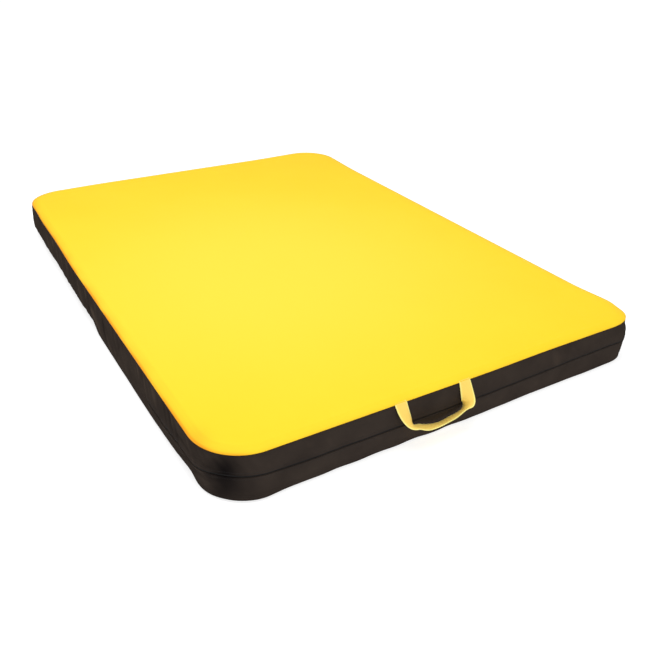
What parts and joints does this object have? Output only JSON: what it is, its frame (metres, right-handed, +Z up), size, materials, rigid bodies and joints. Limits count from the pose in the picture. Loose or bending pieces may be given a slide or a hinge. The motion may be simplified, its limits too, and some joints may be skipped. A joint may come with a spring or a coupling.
{
  "type": "bouldering crash pad",
  "caption": "Rectangular foam pad with rounded corners that folds in half, with landing face, zipped side band, webbing carry handles, closure straps and shoulder straps under it.",
  "frame": {"origin": "on the ground under the middle of the open pad", "axes": "+X to the right along the short side with the visible carry handle, +Y away from that handle towards the rear half, +Z up"},
  "size_m": [1.0171, 1.4538, 0.103],
  "materials": {
    "landing_fabric": "matt coated woven nylon, lemon yellow",
    "side_fabric": "matt coated woven nylon, warm black",
    "base_fabric": "heavy coated woven nylon, black",
    "zip_tape": "woven polyester tape, black",
    "zip_coil": "moulded nylon coil, black",
    "zip_metal": "die-cast zinc, dark lacquer",
    "closed_cell_foam": "closed-cell polyethylene foam, grey, hidden",
    "open_cell_foam": "open-cell polyurethane foam, cream, hidden",
    "yellow_webbing": "woven polyester webbing, golden yellow",
    "black_webbing": "woven polypropylene webbing, black",
    "strap_padding": "foam strap under woven nylon, black",
    "hook_wire": "bent aluminium wire, satin",
    "buckle_plastic": "moulded acetal, black"
  },
  "bodies": {
    "rear_half": {"landing_panel_rear": "landing_fabric", "top_foam_rear": "closed_cell_foam", "core_foam_rear": "open_cell_foam", "base_foam_rear": "closed_cell_foam", "base_panel_rear": "base_fabric", "side_band_rear": "side_fabric"},
    "front_half": {"landing_panel_front": "landing_fabric", "top_foam_front": "closed_cell_foam", "core_foam_front": "open_cell_foam", "base_foam_front": "closed_cell_foam", "base_panel_front": "base_fabric", "upper_side_band_front": "side_fabric", "lower_side_band_front": "side_fabric", "zip_tape": "zip_tape", "zip_coil": "zip_coil", "closure_loop_left": "black_webbing", "shoulder_loop_left": "black_webbing", "closure_loop_right": "black_webbing", "shoulder_loop_right": "black_webbing"},
    "front_handle": {"carry_handle_front": "yellow_webbing"},
    "rear_handle": {"carry_handle_rear": "yellow_webbing"},
    "zip_slider": {"zip_slider": "zip_metal"},
    "zip_pull": {"zip_pull": "zip_metal"},
    "closure_strap_left": {"closure_strap_left": "black_webbing"},
    "closure_hook_left": {"closure_hook_left": "hook_wire"},
    "shoulder_strap_left": {"shoulder_padding_left": "strap_padding", "buckle_tab_left": "black_webbing", "shoulder_buckle_left": "buckle_plastic", "shoulder_tail_left": "black_webbing"},
    "shoulder_hook_left": {"shoulder_hook_left": "hook_wire"},
    "closure_strap_right": {"closure_strap_right": "black_webbing"},
    "closure_hook_right": {"closure_hook_right": "hook_wire"},
    "shoulder_strap_right": {"shoulder_padding_right": "strap_padding", "buckle_tab_right": "black_webbing", "shoulder_buckle_right": "buckle_plastic", "shoulder_tail_right": "black_webbing"},
    "shoulder_hook_right": {"shoulder_hook_right": "hook_wire"}
  },
  "joints": [
    {"name": "fold", "type": "hinge", "parent": "rear_half", "child": "front_half", "pos_m": [0, 0, 0.104], "axis": [-1, 0, 0], "range_deg": [0, 180]},
    {"name": "front_handle_swing", "type": "hinge", "parent": "front_half", "child": "front_handle", "pos_m": [0, -0.6936, 0.0965], "axis": [-1, 0, 0], "range_deg": [0, 60]},
    {"name": "rear_handle_swing", "type": "hinge", "parent": "rear_half", "child": "rear_handle", "pos_m": [0, 0.6936, 0.0965], "axis": [1, 0, 0], "range_deg": [0, 60]},
    {"name": "zip_travel", "type": "slide", "parent": "front_half", "child": "zip_slider", "axis": [0, -1, 0], "range_m": [0, 0.19]},
    {"name": "zip_pull_turn", "type": "hinge", "parent": "zip_slider", "child": "zip_pull", "pos_m": [0.5093, -0.391, 0.049], "axis": [0, 0, -1], "range_deg": [0, 180]},
    {"name": "closure_strap_left_swing", "type": "hinge", "parent": "rear_half", "child": "closure_strap_left", "pos_m": [-0.3, 0.6875, 0.0048], "axis": [1, 0, 0], "range_deg": [0, 180]},
    {"name": "closure_hook_left_turn", "type": "hinge", "parent": "closure_strap_left", "child": "closure_hook_left", "pos_m": [-0.3, 0.3475, 0.0048], "axis": [1, 0, 0], "range_deg": [0, 90]},
    {"name": "shoulder_strap_left_swing", "type": "hinge", "parent": "front_half", "child": "shoulder_strap_left", "pos_m": [-0.27, -0.39, 0.0048], "axis": [0, 1, 0], "range_deg": [0, 90]},
    {"name": "shoulder_hook_left_turn", "type": "hinge", "parent": "shoulder_strap_left", "child": "shoulder_hook_left", "pos_m": [0.2583, -0.46, 0.0048], "axis": [0, 1, 0], "range_deg": [0, 90]},
    {"name": "closure_strap_right_swing", "type": "hinge", "parent": "rear_half", "child": "closure_strap_right", "pos_m": [0.3, 0.6875, 0.0048], "axis": [1, 0, 0], "range_deg": [0, 180]},
    {"name": "closure_hook_right_turn", "type": "hinge", "parent": "closure_strap_right", "child": "closure_hook_right", "pos_m": [0.3, 0.3475, 0.0048], "axis": [1, 0, 0], "range_deg": [0, 90]},
    {"name": "shoulder_strap_right_swing", "type": "hinge", "parent": "front_half", "child": "shoulder_strap_right", "pos_m": [-0.27, -0.3, 0.0048], "axis": [0, 1, 0], "range_deg": [0, 90]},
    {"name": "shoulder_hook_right_turn", "type": "hinge", "parent": "shoulder_strap_right", "child": "shoulder_hook_right", "pos_m": [0.2583, -0.23, 0.0048], "axis": [0, 1, 0], "range_deg": [0, 90]}
  ]
}
